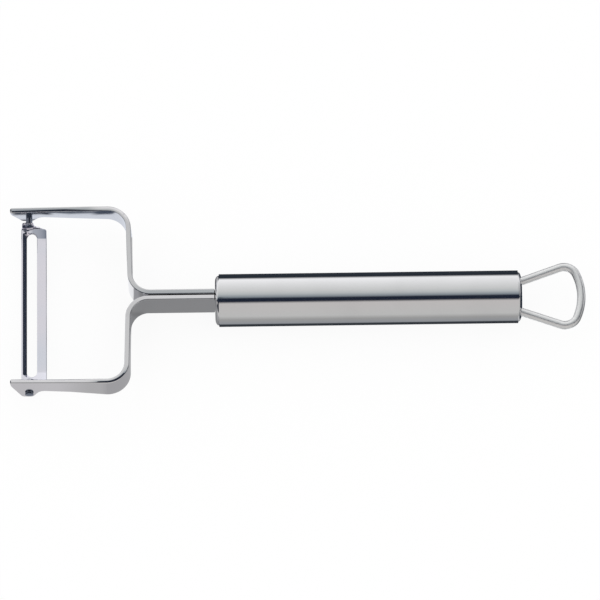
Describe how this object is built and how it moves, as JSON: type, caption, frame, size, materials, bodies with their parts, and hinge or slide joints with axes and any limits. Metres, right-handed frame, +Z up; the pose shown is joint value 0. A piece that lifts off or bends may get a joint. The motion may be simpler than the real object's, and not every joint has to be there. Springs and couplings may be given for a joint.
{
  "type": "vegetable peeler",
  "caption": "Y-shaped vegetable peeler: round polished steel handle with a wire hanging loop, a forked yoke of bent straps and a slotted blade that swivels between its ears.",
  "frame": {"origin": "middle of the bounding box, on the surface that the underside of the handle lies on", "axes": "+X along the handle towards the hanging loop, +Y across the yoke to the right strap, +Z up from the surface"},
  "size_m": [0.1742, 0.0598, 0.016],
  "materials": {
    "polished_tube": "mirror polished stainless steel",
    "polished_wire": "polished stainless steel wire",
    "polished_strap": "polished stainless steel flat bar",
    "blade_steel": "pressed stainless steel, ground along the cutting edge",
    "pin_steel": "turned stainless steel"
  },
  "bodies": {
    "handle_and_yoke": {"handle_tube": "polished_tube", "front_cap": "polished_tube", "rear_cap": "polished_tube", "hanging_loop": "polished_wire", "left_strap": "polished_strap", "right_strap": "polished_strap"},
    "swivel_blade": {"blade": "blade_steel", "left_pivot_pin": "pin_steel", "right_pivot_pin": "pin_steel"}
  },
  "joints": [
    {"name": "blade_swivel", "type": "hinge", "parent": "handle_and_yoke", "child": "swivel_blade", "pos_m": [-0.08153, 0, 0.008], "axis": [0, 1, 0], "range_deg": [-35, 35]}
  ]
}
